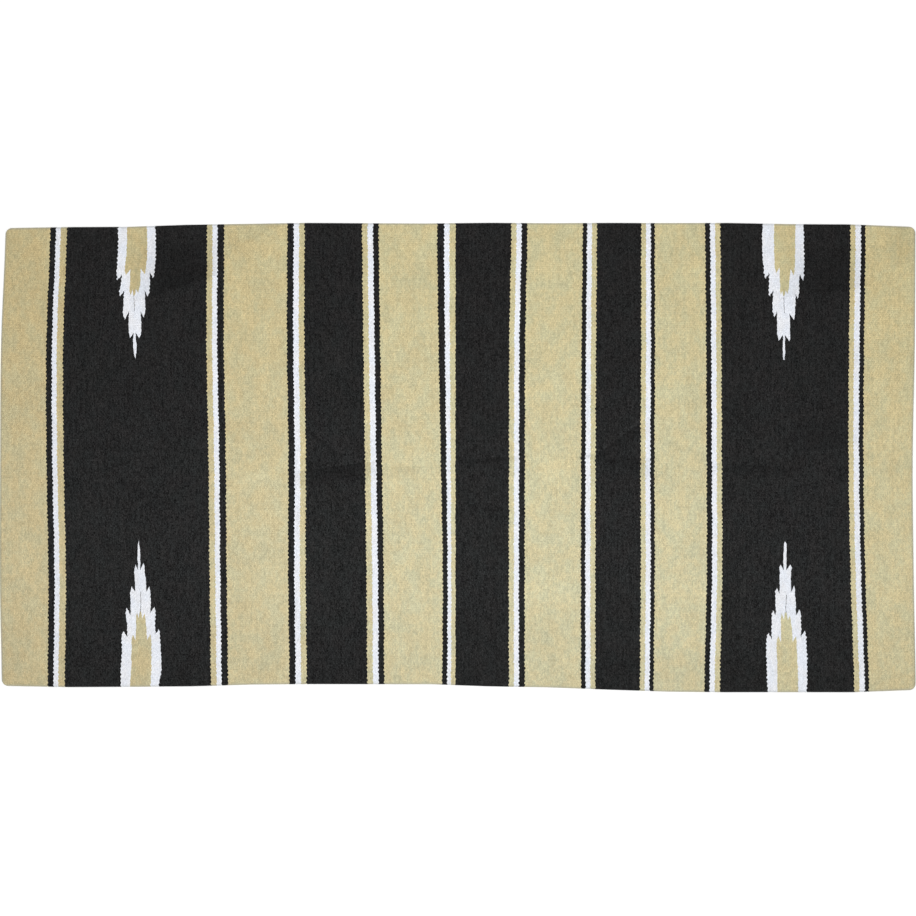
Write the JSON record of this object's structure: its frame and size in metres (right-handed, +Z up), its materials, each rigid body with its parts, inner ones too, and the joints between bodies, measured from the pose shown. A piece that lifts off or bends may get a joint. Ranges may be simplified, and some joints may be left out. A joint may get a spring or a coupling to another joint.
{
  "type": "saddle blanket",
  "caption": "Rectangular weft-faced wool saddle blanket with cross stripes and serrated half-diamonds at its long edges; it folds in half under a saddle.",
  "frame": {"origin": "middle of the underside of the cloth as it lies flat and open", "axes": "+X along the length, towards the end with the narrower black band; +Y along the weft, towards the far long edge; +Z up, out of the face that the saddle rests on"},
  "size_m": [1.626, 0.825, 0.006],
  "materials": {
    "wool_tan": "heathered tan wool weft, matt and slightly hairy",
    "wool_black": "charcoal black wool weft, matt with pale lint",
    "wool_white": "bleached white wool weft, matt",
    "cotton": "undyed twisted cotton, hidden inside the weft"
  },
  "bodies": {
    "left_half": {"tan_end_left": "wool_tan", "stripe_1_black": "wool_black", "stripe_1_white": "wool_white", "stripe_1_tan": "wool_tan", "black_wide_left": "wool_black", "diamond_white_far_left": "wool_white", "diamond_core_far_left": "wool_tan", "diamond_white_near_left": "wool_white", "diamond_core_near_left": "wool_tan", "stripe_2_tan": "wool_tan", "stripe_2_white": "wool_white", "stripe_2_black": "wool_black", "tan_outer_left": "wool_tan", "stripe_3_black": "wool_black", "stripe_3_white": "wool_white", "stripe_3_tan": "wool_tan", "black_inner_left": "wool_black", "stripe_4_tan": "wool_tan", "stripe_4_white": "wool_white", "stripe_4_black": "wool_black", "tan_inner_left": "wool_tan", "stripe_5_black": "wool_black", "stripe_5_white": "wool_white", "stripe_5_tan": "wool_tan", "warp_threads_left": "cotton", "edge_cord_left": "cotton"},
    "right_half": {"black_middle": "wool_black", "stripe_6_tan": "wool_tan", "stripe_6_white": "wool_white", "stripe_6_black": "wool_black", "tan_inner_right": "wool_tan", "stripe_7_black": "wool_black", "stripe_7_white": "wool_white", "stripe_7_tan": "wool_tan", "black_inner_right": "wool_black", "stripe_8_tan": "wool_tan", "stripe_8_white": "wool_white", "stripe_8_black": "wool_black", "tan_outer_right": "wool_tan", "stripe_9_black": "wool_black", "stripe_9_white": "wool_white", "stripe_9_tan": "wool_tan", "black_wide_right": "wool_black", "diamond_white_far_right": "wool_white", "diamond_core_far_right": "wool_tan", "diamond_white_near_right": "wool_white", "diamond_core_near_right": "wool_tan", "stripe_10_tan": "wool_tan", "stripe_10_white": "wool_white", "stripe_10_black": "wool_black", "tan_end_right": "wool_tan", "warp_threads_right": "cotton", "edge_cord_right": "cotton"}
  },
  "joints": [
    {"name": "fold_in_half", "type": "hinge", "parent": "left_half", "child": "right_half", "pos_m": [-0.0038, 0, 0.0075], "axis": [0, -1, 0], "range_deg": [0, 180]}
  ]
}
